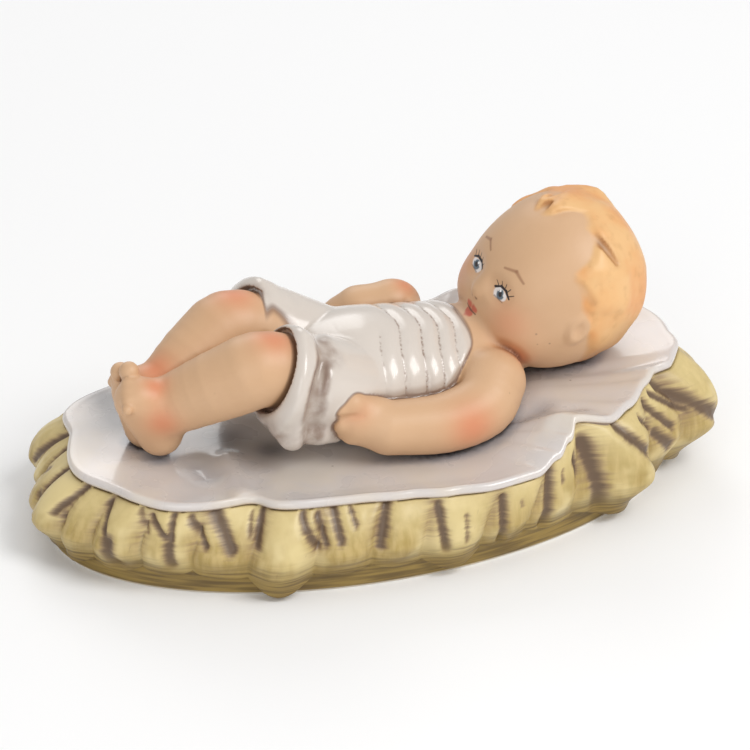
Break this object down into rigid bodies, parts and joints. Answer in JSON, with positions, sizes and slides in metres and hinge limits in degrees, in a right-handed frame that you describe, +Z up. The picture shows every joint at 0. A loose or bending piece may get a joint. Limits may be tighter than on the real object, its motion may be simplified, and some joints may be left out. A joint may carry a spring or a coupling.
{
  "type": "infant figurine on straw bed",
  "caption": "Painted ceramic figurine of an infant in a wrapped romper, lying on its back on a cloth over an oval bed of straw.",
  "frame": {"origin": "middle of the figure's bounding box, on the plane of the underside", "axes": "+X from the infant's feet to its head, +Z up, -Y towards the side the infant turns its face to"},
  "size_m": [0.1404, 0.0784, 0.0576],
  "materials": {
    "painted_ceramic": "hand-painted earthenware: matt skin and hair, glossy cloth and romper, satin straw"
  },
  "bodies": {
    "root": {"infant_on_straw_bed": "painted_ceramic"}
  },
  "joints": []
}
